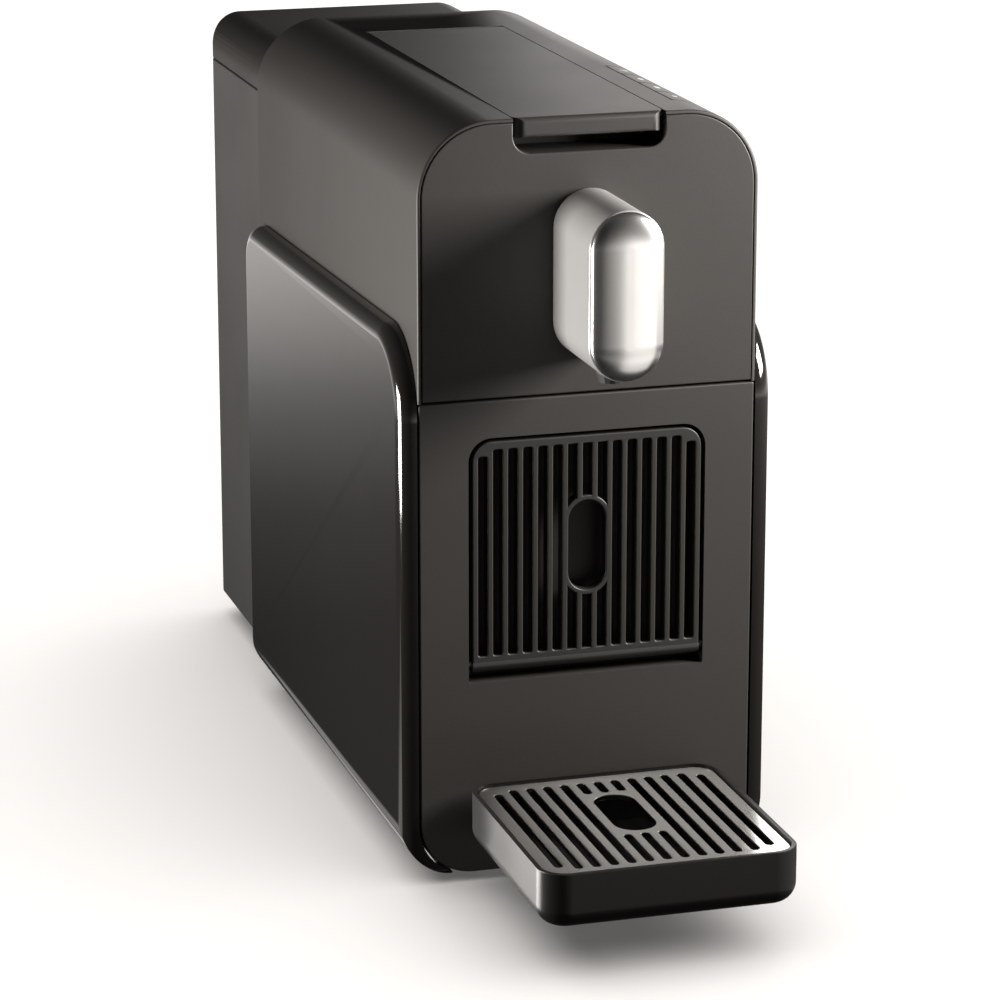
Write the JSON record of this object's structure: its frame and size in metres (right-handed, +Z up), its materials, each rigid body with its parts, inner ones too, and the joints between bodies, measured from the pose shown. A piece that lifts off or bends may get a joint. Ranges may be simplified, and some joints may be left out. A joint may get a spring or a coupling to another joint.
{
  "type": "pod coffee machine",
  "caption": "Narrow pod coffee machine with a lift-up lid, chromed spout, fold-down cup shelf, pull-out drawer with drip tray, and rear water tank.",
  "frame": {"origin": "on the floor, under the middle of the machine's overall box", "axes": "+Z up, -Y is the front with the spout and drip tray, +X is the machine's side with the key row, to the right of a person who faces its front"},
  "size_m": [0.1296, 0.4244, 0.26],
  "materials": {
    "body_matte": "finely textured warm black",
    "key_matte": "finely textured warm black",
    "grille_matte": "satin warm black",
    "panel_gloss": "high gloss black",
    "tray_gloss": "semi-gloss black",
    "tank_smoke": "satin dark grey",
    "inner_dark": "plain moulded black",
    "chrome": "polished",
    "grid_steel": "satin",
    "steel": "plain",
    "aluminium": "die cast",
    "brass": "machined",
    "silicone": "translucent white",
    "rubber": "matte black",
    "board": "circuit board green"
  },
  "bodies": {
    "body": {"chassis_base": "body_matte", "main_shell": "body_matte", "front_fascia": "body_matte", "rear_cover": "body_matte", "side_panel_left": "panel_gloss", "side_panel_right": "panel_gloss", "cover_screw_1": "steel", "cover_screw_2": "steel", "cover_screw_3": "steel", "cover_screw_4": "steel", "cord_gland": "rubber", "pod_chute": "inner_dark", "brew_frame": "inner_dark", "brew_chamber": "aluminium", "brew_elbow": "brass", "lid_pin": "steel", "button_board": "board", "main_board": "board", "spout_housing": "chrome", "spout_cap": "chrome", "spout_nozzle": "inner_dark", "outlet_tube": "silicone", "pump": "aluminium", "pump_mount_front": "rubber", "pump_mount_rear": "rubber", "thermoblock": "aluminium", "heater_bracket": "steel", "flow_meter": "tank_smoke", "tank_hose": "silicone", "pump_inlet_hose": "silicone", "pump_outlet_hose": "silicone", "brew_hose": "silicone", "tank_dock": "body_matte", "dock_seal": "silicone", "foot_front_left": "rubber", "foot_front_right": "rubber", "foot_rear_left": "rubber", "foot_rear_right": "rubber"},
    "lid": {"lid": "body_matte", "lid_cam": "inner_dark"},
    "piston": {"brew_piston": "aluminium", "piston_seal": "silicone"},
    "key_1": {"button_1": "key_matte"},
    "key_2": {"button_2": "key_matte"},
    "key_3": {"button_3": "key_matte"},
    "key_4": {"button_4": "key_matte"},
    "drawer": {"drawer_front": "body_matte", "shelf_pin": "steel", "bin_carrier": "inner_dark", "tray_bracket": "body_matte"},
    "shelf": {"cup_shelf": "grille_matte"},
    "bin": {"pod_bin": "inner_dark"},
    "tray": {"drip_tray": "tray_gloss"},
    "grid": {"drip_grid": "grid_steel"},
    "tank": {"water_tank": "tank_smoke", "valve_cage": "tank_smoke", "valve_spring": "steel"},
    "tank_cap": {"tank_lid": "body_matte"},
    "valve": {"tank_valve": "silicone"}
  },
  "joints": [
    {"name": "lid_hinge", "type": "hinge", "parent": "body", "child": "lid", "pos_m": [0, 0.0662, 0.2574], "axis": [-1, 0, 0], "range_deg": [0, 75]},
    {"name": "piston_slide", "type": "slide", "parent": "body", "child": "piston", "axis": [0, 1, 0], "range_m": [0, 0.036]},
    {"name": "key_1_press", "type": "slide", "parent": "body", "child": "key_1", "axis": [-0.2798, 0, -0.96], "range_m": [0, 0.001], "stiffness_N_per_m": 400, "springref_m": -0.001},
    {"name": "key_2_press", "type": "slide", "parent": "body", "child": "key_2", "axis": [-0.2798, 0, -0.96], "range_m": [0, 0.001], "stiffness_N_per_m": 400, "springref_m": -0.001},
    {"name": "key_3_press", "type": "slide", "parent": "body", "child": "key_3", "axis": [-0.2798, 0, -0.96], "range_m": [0, 0.001], "stiffness_N_per_m": 400, "springref_m": -0.001},
    {"name": "key_4_press", "type": "slide", "parent": "body", "child": "key_4", "axis": [-0.2798, 0, -0.96], "range_m": [0, 0.001], "stiffness_N_per_m": 400, "springref_m": -0.001},
    {"name": "drawer_slide", "type": "slide", "parent": "body", "child": "drawer", "axis": [0, -1, 0], "range_m": [0, 0.11]},
    {"name": "shelf_hinge", "type": "hinge", "parent": "drawer", "child": "shelf", "pos_m": [0, -0.1155, 0.0762], "axis": [1, 0, 0], "range_deg": [0, 90]},
    {"name": "bin_lift", "type": "slide", "parent": "drawer", "child": "bin", "axis": [0, 0, 1], "range_m": [0, 0.02]},
    {"name": "tray_slide", "type": "slide", "parent": "drawer", "child": "tray", "axis": [0, -1, 0], "range_m": [0, 0.075]},
    {"name": "grid_lift", "type": "slide", "parent": "tray", "child": "grid", "axis": [0, 0, 1], "range_m": [0, 0.02]},
    {"name": "tank_lift", "type": "slide", "parent": "body", "child": "tank", "axis": [0, 0, 1], "range_m": [0, 0.06]},
    {"name": "tank_cap_lift", "type": "slide", "parent": "tank", "child": "tank_cap", "axis": [0, 0, 1], "range_m": [0, 0.03]},
    {"name": "valve_lift", "type": "slide", "parent": "tank", "child": "valve", "axis": [0, 0, 1], "range_m": [0, 0.003], "stiffness_N_per_m": 100, "springref_m": -0.002, "deforming": ["valve_spring"]}
  ],
  "couplings": [
    {"joint": "piston_slide", "follows": "lid_hinge", "m_per_rad": 0.0272}
  ]
}
